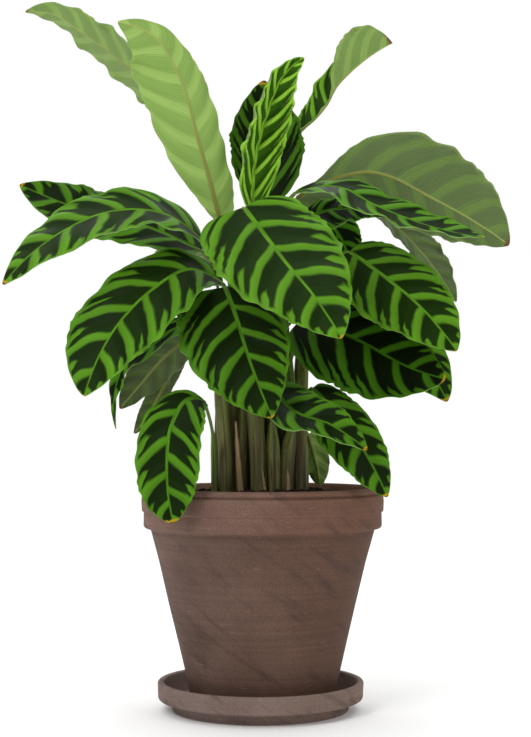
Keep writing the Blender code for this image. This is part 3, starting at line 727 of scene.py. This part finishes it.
def blank(name, roughness, specular):
    """A new material with its tree and its one shader."""
    made = bpy.data.materials.new(name)
    made.use_nodes = True
    shader = made.node_tree.nodes["Principled BSDF"]
    shader.inputs["Roughness"].default_value = roughness
    shader.inputs["Specular IOR Level"].default_value = specular
    return made, made.node_tree, shader


# Where each number laid out on a mesh is kept: the name of its vector and its place in it.
# Blades: stripe counts the stripes. share runs from the midrib to the margin and along from base
# to tip, both from 0 to 1. vein is the way along the rib, away the way from it and tip the way
# from the dried end, in millimetres. young, pale and tone are the leaf's own values in its Look.
# Stalks: up runs from the soil to the blade, from 0 to 1, and past is how many millimetres above
# the sleeve's end a place lies. Dried sheaths: sideways runs from the middle to each edge.
NUMBERS = {"stripe": ("pattern", 0), "share": ("pattern", 1), "along": ("pattern", 2),
           "vein": ("veins", 0), "away": ("veins", 1), "tip": ("tip", 0),
           "young": ("age_and_painted_light", 0), "pale": ("age_and_painted_light", 1), "tone": ("age_and_painted_light", 2),
           "up": ("growth", 0), "sideways": ("growth", 0), "past": ("growth", 1)}


def numbers(tree, *names):
    """The numbers of these names that are laid out on a mesh."""
    found = []
    for name in names:
        layer, part = NUMBERS[name]
        vector = node(tree, "Attribute", {}, "Vector", attribute_name=layer)
        found.append(node(tree, "SeparateXYZ", {0: vector}, part))
    return found


def bright_parts(tree, placed, share, feather_mid, drift):
    """Where the upper side is bright green: stripes, flames between them, border and midrib."""
    along, away = numbers(tree, "along", "away")
    folded = node(tree, "Math", {0: placed, 1: 0.5}, operation="PINGPONG")
    off_stripe = node(tree, "Math", {0: folded, 1: 2.0}, operation="MULTIPLY")
    width = node(tree, "MapRange", {0: share, 1: 0.1, 2: 1.0, 3: 0.24, 4: 0.38})
    past = node(tree, "Math", {0: off_stripe, 1: width}, operation="SUBTRACT")
    band = node(tree, "MapRange", {0: past, 1: -0.12, 2: 0.13, 3: 1.0, 4: 0.0},
                interpolation_type="SMOOTHSTEP")
    # Short flames run in from the margin between the stripes.
    reach = node(tree, "MapRange", {0: share, 1: 0.52, 2: 0.82, 3: 0.0, 4: 0.34},
                 interpolation_type="SMOOTHSTEP")
    lively = node(tree, "Math", {0: drift, 1: 1.9}, operation="MULTIPLY")
    grown = node(tree, "Math", {0: reach, 1: lively}, operation="MULTIPLY")
    flame_edge = node(tree, "Math", {0: off_stripe, 1: grown}, operation="ADD")
    flame = node(tree, "MapRange", {0: flame_edge, 1: 0.98, 2: 1.20, 3: 0.0, 4: 1.0},
                 interpolation_type="SMOOTHSTEP")
    near_margin = node(tree, "Math", {0: feather_mid, 1: 0.10, 2: share}, operation="MULTIPLY_ADD")
    border = node(tree, "MapRange", {0: near_margin, 1: 0.87, 2: 0.97, 3: 0.0, 4: 1.0},
                  interpolation_type="SMOOTHSTEP")
    # The midrib is bright over 2.3 mm on each side at the base and 0.5 mm at the tip.
    rib_width = node(tree, "MapRange", {0: along, 1: 0.0, 2: 1.0, 3: 2.3, 4: 0.5})
    off_rib = node(tree, "Math", {0: away, 1: rib_width}, operation="SUBTRACT")
    rib = node(tree, "MapRange", {0: off_rib, 1: -0.4, 2: 0.5, 3: 1.0, 4: 0.0})
    striped = node(tree, "Math", {0: band, 1: flame}, operation="MAXIMUM")
    outlined = node(tree, "Math", {0: border, 1: rib}, operation="MAXIMUM")
    return node(tree, "Math", {0: striped, 1: outlined}, operation="MAXIMUM")


def leaf_greens(tree, young, ripple, feather, drift):
    """The dark green and the bright green of the upper side, each lined by the veins."""
    dark_old = node(tree, "Mix", {0: feather, 6: srgb("#060d02"), 7: srgb("#132306")}, 2,
                    data_type="RGBA")
    dark = node(tree, "Mix", {0: young, 6: dark_old, 7: srgb("#2c520a")}, 2, data_type="RGBA")
    dark_lined = node(tree, "MapRange", {0: ripple, 1: -1.0, 2: 1.0, 3: 0.82, 4: 1.18})
    dark_shown = node(tree, "VectorMath", {0: dark, "Scale": dark_lined}, operation="SCALE")
    green_old = node(tree, "Mix", {0: drift, 6: srgb("#37670c"), 7: srgb("#518a18")}, 2,
                     data_type="RGBA")
    green = node(tree, "Mix", {0: young, 6: green_old, 7: srgb("#7fb032")}, 2, data_type="RGBA")
    green_lined = node(tree, "MapRange", {0: ripple, 1: -1.0, 2: 1.0, 3: 0.95, 4: 1.05})
    green_shown = node(tree, "VectorMath", {0: green, "Scale": green_lined}, operation="SCALE")
    return dark_shown, green_shown


def living_leaf_upper():
    """Living leaf, upper side: satin cuticle over dark green blocks and bright green stripes."""
    made, tree, shader = blank("living_leaf_upper", roughness=0.42, specular=0.05)
    stripe, share, vein, tip = numbers(tree, "stripe", "share", "vein", "tip")
    young, tone = numbers(tree, "young", "tone")
    veins = node(tree, "Attribute", {}, "Vector", attribute_name="veins")
    # Feathering follows the veins: 3.4 mm across them and about 40 mm along them.
    across_veins = node(tree, "VectorMath", {0: veins, 1: (1 / 3.4, 1 / 40, 1)},
                        operation="MULTIPLY")
    feather = node(tree, "TexNoise", {"Vector": across_veins, "Scale": 1.0, "Detail": 2.0}, 0)
    # Stripes wander and the green drifts over patches of 26 by 20 mm.
    broad = node(tree, "VectorMath", {0: veins, 1: (1 / 26, 1 / 20, 1)}, operation="MULTIPLY")
    drift = node(tree, "TexNoise", {"Vector": broad, "Scale": 1.0, "Detail": 1.0}, 0)
    feather_mid = node(tree, "Math", {0: feather, 1: 0.5}, operation="SUBTRACT")
    drift_mid = node(tree, "Math", {0: drift, 1: 0.5}, operation="SUBTRACT")
    ragged = node(tree, "Math", {0: share, 1: 0.11, 2: 0.02}, operation="MULTIPLY_ADD")
    frayed = node(tree, "Math", {0: feather_mid, 1: ragged}, operation="MULTIPLY")
    wandering = node(tree, "Math", {0: drift_mid, 1: 0.26, 2: frayed}, operation="MULTIPLY_ADD")
    placed = node(tree, "Math", {0: stripe, 1: wandering}, operation="ADD")
    bright = bright_parts(tree, placed, share, feather_mid, drift)
    # Parallel veins are drawn 2.6 mm apart, coarser than the real 1.6 mm, so that they show.
    turns = node(tree, "Math", {0: vein, 1: 2 * math.pi / 2.6}, operation="MULTIPLY")
    ripple = node(tree, "Math", {0: turns}, operation="SINE")
    dark, green = leaf_greens(tree, young, ripple, feather, drift)
    striped = node(tree, "Mix", {0: bright, 6: dark, 7: green}, 2, data_type="RGBA")
    # Each stripe is lighter on the side towards the leaf's base and deeper on the other.
    round_stripe = node(tree, "Math", {0: placed, 1: 2 * math.pi}, operation="MULTIPLY")
    one_side = node(tree, "Math", {0: round_stripe}, operation="SINE")
    shade = node(tree, "MapRange", {0: one_side, 1: -1.0, 2: 1.0, 3: 1.16, 4: 0.84})
    # tone darkens the whole upper side of leaves that stand in shade: painted shade.
    leaf_shade = node(tree, "Math", {0: shade, 1: tone}, operation="MULTIPLY")
    skin = node(tree, "VectorMath", {0: striped, "Scale": leaf_shade}, operation="SCALE")
    # The last millimetres of many tips have dried to yellow and then brown.
    rough_tip = node(tree, "Math", {0: feather_mid, 1: 4.0, 2: tip}, operation="MULTIPLY_ADD")
    yellowed = node(tree, "MapRange", {0: rough_tip, 1: 0.2, 2: 2.4, 3: 1.0, 4: 0.0})
    yellow = node(tree, "Mix", {0: yellowed, 6: skin, 7: srgb("#b79a1e")}, 2, data_type="RGBA")
    browned = node(tree, "MapRange", {0: rough_tip, 1: -1.5, 2: 0.5, 3: 1.0, 4: 0.0})
    brown = node(tree, "Mix", {0: browned, 6: yellow, 7: srgb("#4b2a12")}, 2, data_type="RGBA")
    tree.links.new(brown, shader.inputs["Base Color"])
    gloss = node(tree, "MapRange", {0: feather, 1: 0.2, 2: 0.8, 3: 0.36, 4: 0.52})
    tree.links.new(gloss, shader.inputs["Roughness"])
    puffed = node(tree, "Math", {0: ripple, 1: 0.35, 2: feather}, operation="MULTIPLY_ADD")
    bump = node(tree, "Bump", {"Height": puffed, "Strength": 0.5, "Distance": 0.0003})
    tree.links.new(bump, shader.inputs["Normal"])
    return made


def living_leaf_underside():
    """Living leaf, underside: matt grey green with fine raised veins and a fleshy midrib."""
    made, tree, shader = blank("living_leaf_underside", roughness=0.55, specular=0.25)
    stripe, share, along, pale = numbers(tree, "stripe", "share", "along", "pale")
    vein, away, tip = numbers(tree, "vein", "away", "tip")
    veins = node(tree, "Attribute", {}, "Vector", attribute_name="veins")
    # Feathering is 2.6 mm across the veins and about 30 mm along them.
    across_veins = node(tree, "VectorMath", {0: veins, 1: (1 / 2.6, 1 / 30, 1)},
                        operation="MULTIPLY")
    feather = node(tree, "TexNoise", {"Vector": across_veins, "Scale": 1.0, "Detail": 2.0}, 0)
    feather_mid = node(tree, "Math", {0: feather, 1: 0.5}, operation="SUBTRACT")
    placed = node(tree, "Math", {0: feather_mid, 1: 0.35, 2: stripe}, operation="MULTIPLY_ADD")
    folded = node(tree, "Math", {0: placed, 1: 0.5}, operation="PINGPONG")
    band = node(tree, "MapRange", {0: folded, 1: 0.10, 2: 0.26, 3: 1.0, 4: 0.0},
                interpolation_type="SMOOTHSTEP")
    # Veins are drawn 3.2 mm apart, twice the real spacing, so that they show.
    turns = node(tree, "Math", {0: vein, 1: 2 * math.pi / 3.2}, operation="MULTIPLY")
    ripple = node(tree, "Math", {0: turns}, operation="SINE")
    grey = node(tree, "Mix", {0: band, 6: srgb("#56673e"), 7: srgb("#5f783a")}, 2,
                data_type="RGBA")
    # The paler green stands partly for a fresher leaf and partly for painted light, where an underside is lit
    # through from behind or hangs in shade.
    fresh = node(tree, "Mix", {0: band, 6: srgb("#7f9f4b"), 7: srgb("#93b35a")}, 2,
                 data_type="RGBA")
    skin = node(tree, "Mix", {0: pale, 6: grey, 7: fresh}, 2, data_type="RGBA")
    lined = node(tree, "Math", {0: ripple, 1: 0.28, 2: feather}, operation="MULTIPLY_ADD")
    light = node(tree, "MapRange", {0: lined, 1: 0.0, 2: 1.0, 3: 0.90, 4: 1.08})
    shown = node(tree, "VectorMath", {0: skin, "Scale": light}, operation="SCALE")
    edge = node(tree, "MapRange", {0: share, 1: 0.93, 2: 1.0, 3: 0.0, 4: 0.5})
    edged = node(tree, "Mix", {0: edge, 6: shown, 7: srgb("#93ad63")}, 2, data_type="RGBA")
    # The midrib shows over 2.2 mm on each side at the base and 0.5 mm at the tip.
    rib_width = node(tree, "MapRange", {0: along, 1: 0.0, 2: 1.0, 3: 2.2, 4: 0.5})
    off_rib = node(tree, "Math", {0: away, 1: rib_width}, operation="SUBTRACT")
    rib = node(tree, "MapRange", {0: off_rib, 1: -0.5, 2: 0.5, 3: 1.0, 4: 0.0})
    rib_colour = node(tree, "Mix", {0: along, 6: srgb("#7a7a33"), 7: srgb("#9cab5c")}, 2,
                      data_type="RGBA")
    ribbed = node(tree, "Mix", {0: rib, 6: edged, 7: rib_colour}, 2, data_type="RGBA")
    rough_tip = node(tree, "Math", {0: feather_mid, 1: 5.0, 2: tip}, operation="MULTIPLY_ADD")
    browned = node(tree, "MapRange", {0: rough_tip, 1: -1.0, 2: 2.5, 3: 1.0, 4: 0.0})
    brown = node(tree, "Mix", {0: browned, 6: ribbed, 7: srgb("#6a4a24")}, 2, data_type="RGBA")
    tree.links.new(brown, shader.inputs["Base Color"])
    bump = node(tree, "Bump", {"Height": lined, "Strength": 0.6, "Distance": 0.0003})
    tree.links.new(bump, shader.inputs["Normal"])
    return made


def living_leaf_margin():
    """Living leaf, cut edge: the thin pale rim that outlines each blade."""
    made, tree, shader = blank("living_leaf_margin", roughness=0.5, specular=0.3)
    tip, = numbers(tree, "tip")
    # The green changes over patches of 7 mm.
    place = node(tree, "TexCoord", {}, "Object")
    speckle = node(tree, "TexNoise", {"Vector": place, "Scale": 140.0, "Detail": 2.0}, 0)
    green = node(tree, "Mix", {0: speckle, 6: srgb("#5f8a35"), 7: srgb("#a3bd78")}, 2,
                 data_type="RGBA")
    browned = node(tree, "MapRange", {0: tip, 1: 0.0, 2: 4.0, 3: 1.0, 4: 0.0})
    brown = node(tree, "Mix", {0: browned, 6: green, 7: srgb("#5a3516")}, 2, data_type="RGBA")
    tree.links.new(brown, shader.inputs["Base Color"])
    return made


def fleshy_stalk():
    """Fleshy leaf stalk: satin skin with long fibres, olive brown below and green above."""
    made, tree, shader = blank("fleshy_stalk", roughness=0.5, specular=0.3)
    fibre = node(tree, "Attribute", {}, "Vector", attribute_name="fibre")
    up, past = numbers(tree, "up", "past")
    # Fibres are 1.1 mm wide and run some 60 mm along the stalk. Their colour drifts over 6 by 90.
    stretched = node(tree, "VectorMath", {0: fibre, 1: (1 / 1.1, 1 / 60, 1)},
                     operation="MULTIPLY")
    strands = node(tree, "TexNoise", {"Vector": stretched, "Scale": 1.0, "Detail": 3.0}, 0)
    broad = node(tree, "VectorMath", {0: fibre, 1: (1 / 6, 1 / 90, 1)}, operation="MULTIPLY")
    drift = node(tree, "TexNoise", {"Vector": broad, "Scale": 1.0, "Detail": 1.0}, 0)
    varied = node(tree, "MapRange", {0: drift, 1: 0.3, 2: 0.7, 3: 0.0, 4: 1.0})
    low = node(tree, "Mix", {0: varied, 6: srgb("#38311a"), 7: srgb("#83814a")}, 2,
               data_type="RGBA")
    high = node(tree, "Mix", {0: varied, 6: srgb("#405414"), 7: srgb("#76943a")}, 2,
                data_type="RGBA")
    greener = node(tree, "MapRange", {0: up, 1: 0.1, 2: 0.7, 3: 0.0, 4: 1.0})
    skin = node(tree, "Mix", {0: greener, 6: low, 7: high}, 2, data_type="RGBA")
    light = node(tree, "MapRange", {0: strands, 1: 0.25, 2: 0.75, 3: 0.62, 4: 1.40})
    shown = node(tree, "VectorMath", {0: skin, "Scale": light}, operation="SCALE")
    # Old sheaths leave red-brown streaks, 3.5 mm wide and 45 mm long.
    far = node(tree, "VectorMath", {0: fibre, 1: (1 / 3.5, 1 / 45, 3)}, operation="MULTIPLY")
    stain = node(tree, "TexNoise", {"Vector": far, "Scale": 1.0, "Detail": 2.0}, 0)
    stained = node(tree, "MapRange", {0: stain, 1: 0.56, 2: 0.70, 3: 0.0, 4: 0.85})
    less = node(tree, "MapRange", {0: up, 1: 0.15, 2: 0.5, 3: 1.0, 4: 0.0})
    amount = node(tree, "Math", {0: stained, 1: less}, operation="MULTIPLY")
    streaked = node(tree, "Mix", {0: amount, 6: shown, 7: srgb("#4e2f22")}, 2,
                    data_type="RGBA")
    # The sleeve around the stalk ends in a thin dried edge.
    off_edge = node(tree, "Math", {0: past}, operation="ABSOLUTE")
    edge = node(tree, "MapRange", {0: off_edge, 1: 0.5, 2: 2.2, 3: 0.75, 4: 0.0})
    edged = node(tree, "Mix", {0: edge, 6: streaked, 7: srgb("#6b4a2e")}, 2, data_type="RGBA")
    # Dark specks lie about 12 mm apart.
    dots = node(tree, "TexVoronoi", {"Vector": fibre, "Scale": 0.085}, 0)
    speck = node(tree, "MapRange", {0: dots, 1: 0.05, 2: 0.09, 3: 0.9, 4: 0.0})
    specked = node(tree, "Mix", {0: speck, 6: edged, 7: srgb("#1d140d")}, 2, data_type="RGBA")
    tree.links.new(specked, shader.inputs["Base Color"])
    bump = node(tree, "Bump", {"Height": strands, "Strength": 0.8, "Distance": 0.0006})
    tree.links.new(bump, shader.inputs["Normal"])
    return made


def dried_sheath_skin():
    """Dried leaf sheath: papery, matt and tan, with darker edges and specks."""
    made, tree, shader = blank("dried_sheath", roughness=0.75, specular=0.2)
    fibre = node(tree, "Attribute", {}, "Vector", attribute_name="fibre")
    sideways, = numbers(tree, "sideways")
    # Fibres are 1.3 mm wide and 35 mm long, and the specks about 3 mm across.
    stretched = node(tree, "VectorMath", {0: fibre, 1: (1 / 1.3, 1 / 35, 1)},
                     operation="MULTIPLY")
    strands = node(tree, "TexNoise", {"Vector": stretched, "Scale": 1.0, "Detail": 3.0}, 0)
    tan = node(tree, "Mix", {0: strands, 6: srgb("#7d5f42"), 7: srgb("#c0ae80")}, 2,
               data_type="RGBA")
    specks = node(tree, "TexNoise", {"Vector": fibre, "Scale": 0.35, "Detail": 2.0}, 0)
    spotted = node(tree, "MapRange", {0: specks, 1: 0.62, 2: 0.72, 3: 0.0, 4: 0.85})
    spotty = node(tree, "Mix", {0: spotted, 6: tan, 7: srgb("#3c2215")}, 2, data_type="RGBA")
    uneven = node(tree, "Math", {0: strands, 1: 0.5, 2: sideways}, operation="MULTIPLY_ADD")
    edge = node(tree, "MapRange", {0: uneven, 1: 0.7, 2: 1.1, 3: 0.0, 4: 0.9})
    shown = node(tree, "Mix", {0: edge, 6: spotty, 7: srgb("#5a3426")}, 2, data_type="RGBA")
    tree.links.new(shown, shader.inputs["Base Color"])
    bump = node(tree, "Bump", {"Height": strands, "Strength": 0.7, "Distance": 0.0004})
    tree.links.new(bump, shader.inputs["Normal"])
    return made


def painted_clay_light(tree, place, rim_painted_light):
    """How light the clay is painted by its place: painted light on the rim, and most on its inner wall, which
    lies in shade.

    The heights and radii here are metres, as the object's coordinates are.
    """
    height_at = node(tree, "SeparateXYZ", {0: place}, 2)
    rim = node(tree, "MapRange", {0: height_at, 1: 0.176, 2: 0.182, 3: 0.0, 4: 1.0})
    flat = node(tree, "VectorMath", {0: place, 1: (1, 1, 0)}, operation="MULTIPLY")
    radius = node(tree, "VectorMath", {0: flat}, 1, operation="LENGTH")
    rim_tone = node(tree, "MapRange", {0: radius, 1: 0.1092, 2: 0.1112, 3: rim_painted_light * 2.4,
                                       4: rim_painted_light})
    return node(tree, "Mix", {0: rim, 2: 1.0, 3: rim_tone}, 0, data_type="FLOAT")


def fired_clay(name, light, dark, warm_shade, rim_painted_light):
    """Unglazed fired clay, turned on a wheel: matt, with fine rings, scuffs and pale scratches.

    Its rim and inner wall are painted lighter, as painted light, and its right side warmer and
    darker, partly as painted shade.
    """
    made, tree, shader = blank(name, roughness=0.78, specular=0.25)
    place = node(tree, "TexCoord", {}, "Object")
    # Turning rings are 2.4 mm apart, coarser than real ones so that they show. They run all
    # round, so they hardly change sideways.
    rings_at = node(tree, "VectorMath", {0: place, 1: (5, 5, 420)}, operation="MULTIPLY")
    rings = node(tree, "TexNoise", {"Vector": rings_at, "Scale": 1.0, "Detail": 3.0}, 0)
    # The body's colour clouds over about 60 mm. Its grit is drawn at 1.4 mm so that it shows.
    cloud = node(tree, "TexNoise", {"Vector": place, "Scale": 16.0, "Detail": 4.0}, 0)
    grit = node(tree, "TexNoise", {"Vector": place, "Scale": 700.0, "Detail": 2.0}, 0)
    patchy = node(tree, "MapRange", {0: cloud, 1: 0.3, 2: 0.7, 3: 0.0, 4: 1.0})
    body = node(tree, "Mix", {0: patchy, 6: srgb(dark), 7: srgb(light)}, 2, data_type="RGBA")
    # Towards the right the clay is painted warmer and darker: partly a warmer clay and partly painted shade,
    # away from the key light at the front left.
    sideways = node(tree, "SeparateXYZ", {0: place}, 0)
    right_painted_shade = node(tree, "MapRange", {0: sideways, 1: -0.06, 2: 0.09, 3: 0.0, 4: 0.85})
    toned = node(tree, "Mix", {0: right_painted_shade, 6: body, 7: srgb(warm_shade)}, 2, data_type="RGBA")
    ringed = node(tree, "MapRange", {0: rings, 1: 0.3, 2: 0.7, 3: 0.90, 4: 1.10})
    grained = node(tree, "MapRange", {0: grit, 1: 0.3, 2: 0.7, 3: 0.82, 4: 1.18})
    textured = node(tree, "Math", {0: ringed, 1: grained}, operation="MULTIPLY")
    # Painted light: the rim band is painted lighter, and the inner wall, which lies in shade, most of all.
    painted_light = painted_clay_light(tree, place, rim_painted_light)
    both = node(tree, "Math", {0: textured, 1: painted_light}, operation="MULTIPLY")
    shown = node(tree, "VectorMath", {0: toned, "Scale": both}, operation="SCALE")
    # Dark wiped smudges, 9 mm high and 60 mm long, slant across the wall.
    tilted = node(tree, "Mapping", {"Vector": place, "Rotation": (0.0, -0.65, 0.0)})
    slanted = node(tree, "VectorMath", {0: tilted, 1: (16, 30, 110)}, operation="MULTIPLY")
    smear = node(tree, "TexNoise", {"Vector": slanted, "Scale": 1.0, "Detail": 5.0}, 0)
    smudged = node(tree, "MapRange", {0: smear, 1: 0.54, 2: 0.72, 3: 0.0, 4: 0.6})
    wiped = node(tree, "Mix", {0: smudged, 6: shown, 7: srgb("#3d2f2a")}, 2, data_type="RGBA")
    # Scratches are about 1.4 mm wide and 17 mm long, wider than real ones so that they show.
    thin = node(tree, "Mapping", {"Vector": place, "Rotation": (0.3, 0.9, 0.2),
                                  "Scale": (60.0, 60.0, 700.0)})
    lines = node(tree, "TexNoise", {"Vector": thin, "Scale": 1.0, "Detail": 1.0}, 0)
    scratch = node(tree, "MapRange", {0: lines, 1: 0.75, 2: 0.80, 3: 0.0, 4: 0.35})
    scratched = node(tree, "Mix", {0: scratch, 6: wiped, 7: srgb("#a08f84")}, 2,
                     data_type="RGBA")
    tree.links.new(scratched, shader.inputs["Base Color"])
    height = node(tree, "Math", {0: rings, 1: 0.8, 2: grit}, operation="MULTIPLY_ADD")
    bump = node(tree, "Bump", {"Height": height, "Strength": 0.55, "Distance": 0.0003})
    tree.links.new(bump, shader.inputs["Normal"])
    return made


def potting_mix():
    """Damp peat and bark: nearly black, matt, with brown crumbs of about 4 mm."""
    made, tree, shader = blank("peat_potting_mix", roughness=0.95, specular=0.15)
    place = node(tree, "TexCoord", {}, "Object")
    crumb = node(tree, "TexNoise", {"Vector": place, "Scale": 260.0, "Detail": 3.0}, 0)
    tone = node(tree, "MapRange", {0: crumb, 1: 0.35, 2: 0.7, 3: 0.0, 4: 1.0})
    shown = node(tree, "Mix", {0: tone, 6: srgb("#120d0a"), 7: srgb("#3a2a20")}, 2,
                 data_type="RGBA")
    tree.links.new(shown, shader.inputs["Base Color"])
    bump = node(tree, "Bump", {"Height": crumb, "Strength": 1.0, "Distance": 0.002})
    tree.links.new(bump, shader.inputs["Normal"])
    return made


def white_board():
    """White studio board: matt, a little self-lit so that only the contact shadow darkens it."""
    made, _, shader = blank("white_studio_board", roughness=0.9, specular=0.0)
    shader.inputs["Base Color"].default_value = srgb("#f6f6f6")
    shader.inputs["Emission Color"].default_value = (1, 1, 1, 1)
    shader.inputs["Emission Strength"].default_value = FLOOR_GLOW
    return made


def camera():
    data = bpy.data.cameras.new("photo_camera")
    data.sensor_width = CAMERA_SENSOR
    data.lens = CAMERA_LENS
    data.clip_start = CLIP_START
    thing = bpy.data.objects.new("photo_camera", data)
    thing.location = CAMERA_AT
    thing.rotation_euler = (math.radians(90 + CAMERA_UP_DEGREES), 0, 0)
    bpy.context.scene.collection.objects.link(thing)
    bpy.context.scene.camera = thing


def white_room():
    """White surroundings, dimmer as a light than as the backdrop that the camera sees."""
    world = bpy.data.worlds.new("white_studio")
    world.use_nodes = True
    tree = world.node_tree
    backdrop = tree.nodes["Background"]
    seen = node(tree, "LightPath", {}, "Is Camera Ray")
    strength = node(tree, "MapRange", {0: seen, 3: ROOM_LIGHT, 4: BACKDROP_WHITE})
    backdrop.inputs["Color"].default_value = (1, 1, 1, 1)
    tree.links.new(strength, backdrop.inputs["Strength"])
    bpy.context.scene.world = world
    bpy.context.scene.view_settings.view_transform = "Standard"


def overhead_light():
    data = bpy.data.lights.new("overhead", "SUN")
    data.energy = OVERHEAD_STRENGTH
    data.angle = math.radians(OVERHEAD_DEGREES)
    thing = bpy.data.objects.new("overhead", data)
    thing.rotation_euler = (math.radians(OVERHEAD_TILT_DEGREES), 0, 0)
    bpy.context.scene.collection.objects.link(thing)


def soft_light(name, at, aim, size, watts):
    """A round soft light. Its place, what it looks at and its size are in metres."""
    data = bpy.data.lights.new(name, "AREA")
    data.shape = "DISK"
    data.size = size
    data.energy = watts
    thing = bpy.data.objects.new(name, data)
    thing.location = at
    thing.rotation_euler = (Vector(aim) - Vector(at)).to_track_quat("-Z", "Y").to_euler()
    bpy.context.scene.collection.objects.link(thing)


def floor_board():
    mesh = bpy.data.meshes.new("studio_floor")
    reach = FLOOR_REACH
    mesh.from_pydata([(-reach, -reach, 0), (reach, -reach, 0), (reach, reach, 0),
                      (-reach, reach, 0)], [], [(0, 1, 2, 3)])
    mesh.materials.append(white_board())
    floor = bpy.data.objects.new("studio_floor", mesh)
    bpy.context.scene.collection.objects.link(floor)
    floor.location = (0, 0, -FLOOR_DROP)


def studio():
    """A white room, a broad light overhead, and soft ones at the front left and front right."""
    white_room()
    overhead_light()
    soft_light("key", at=(-1.1, -1.5, 1.7), aim=(0, 0, 0.42), size=1.0, watts=20)
    soft_light("fill", at=(1.6, -1.4, 0.9), aim=(0, 0, 0.4), size=1.2, watts=8)
    floor_board()


def show(mesh, materials, slot, *nodes):
    """Puts a mesh in the scene under the root body and hides the CAD parts that it stands for."""
    thing = bpy.data.objects.new(mesh.name, mesh)
    bpy.context.scene.collection.objects.link(thing)
    for finish in materials:
        mesh.materials.append(finish)
    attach(thing, "root")
    if nodes:
        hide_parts(*nodes)


def plant():
    """Every leaf, seeded by its place in the table."""
    blade_finishes = [living_leaf_upper(), living_leaf_underside(), living_leaf_margin()]
    stalk_skin = fleshy_stalk()
    for number, leaf in enumerate(LEAVES):
        random = np.random.default_rng(LEAF_SEED + number)
        blade = blade_mesh(leaf, LOOKS[leaf.name], random)
        show(blade, blade_finishes, "leaf", "blade_" + leaf.name)
        show(stalk_mesh(leaf, random), [stalk_skin], "stalk", "stem_" + leaf.name)


def vessel():
    """The pot, the saucer and what the pot holds."""
    random = np.random.default_rng(SOIL_SEED)
    # The pot's rim and inner wall are painted lighter, as painted light. The saucer gets no such light.
    pot_clay = fired_clay("fired_pot_clay", light="#6b544a", dark="#543f36", warm_shade="#573c2d",
                          rim_painted_light=1.36)
    saucer_clay = fired_clay("fired_saucer_clay", light="#897770", dark="#725f58",
                             warm_shade="#766256", rim_painted_light=1.0)
    show(pot_mesh(), [pot_clay], "pot_clay", "pot")
    show(saucer_mesh(), [saucer_clay], "saucer_clay", "saucer")
    mix = potting_mix()
    show(soil_mesh(random), [mix], "potting_soil", "soil")
    show(crumbs_mesh(random), [mix], "potting_soil")


def dried_sheaths():
    """Three dried sheaths stand among the stalks at the front."""
    papery = dried_sheath_skin()
    for number, (name, foot, tip, width) in enumerate(DRIED_SHEATHS):
        random = np.random.default_rng(SHEATH_SEED + number)
        show(dried_sheath_mesh(name, foot, tip, width, random), [papery], "stalk")


camera()
studio()
plant()
vessel()
dried_sheaths()
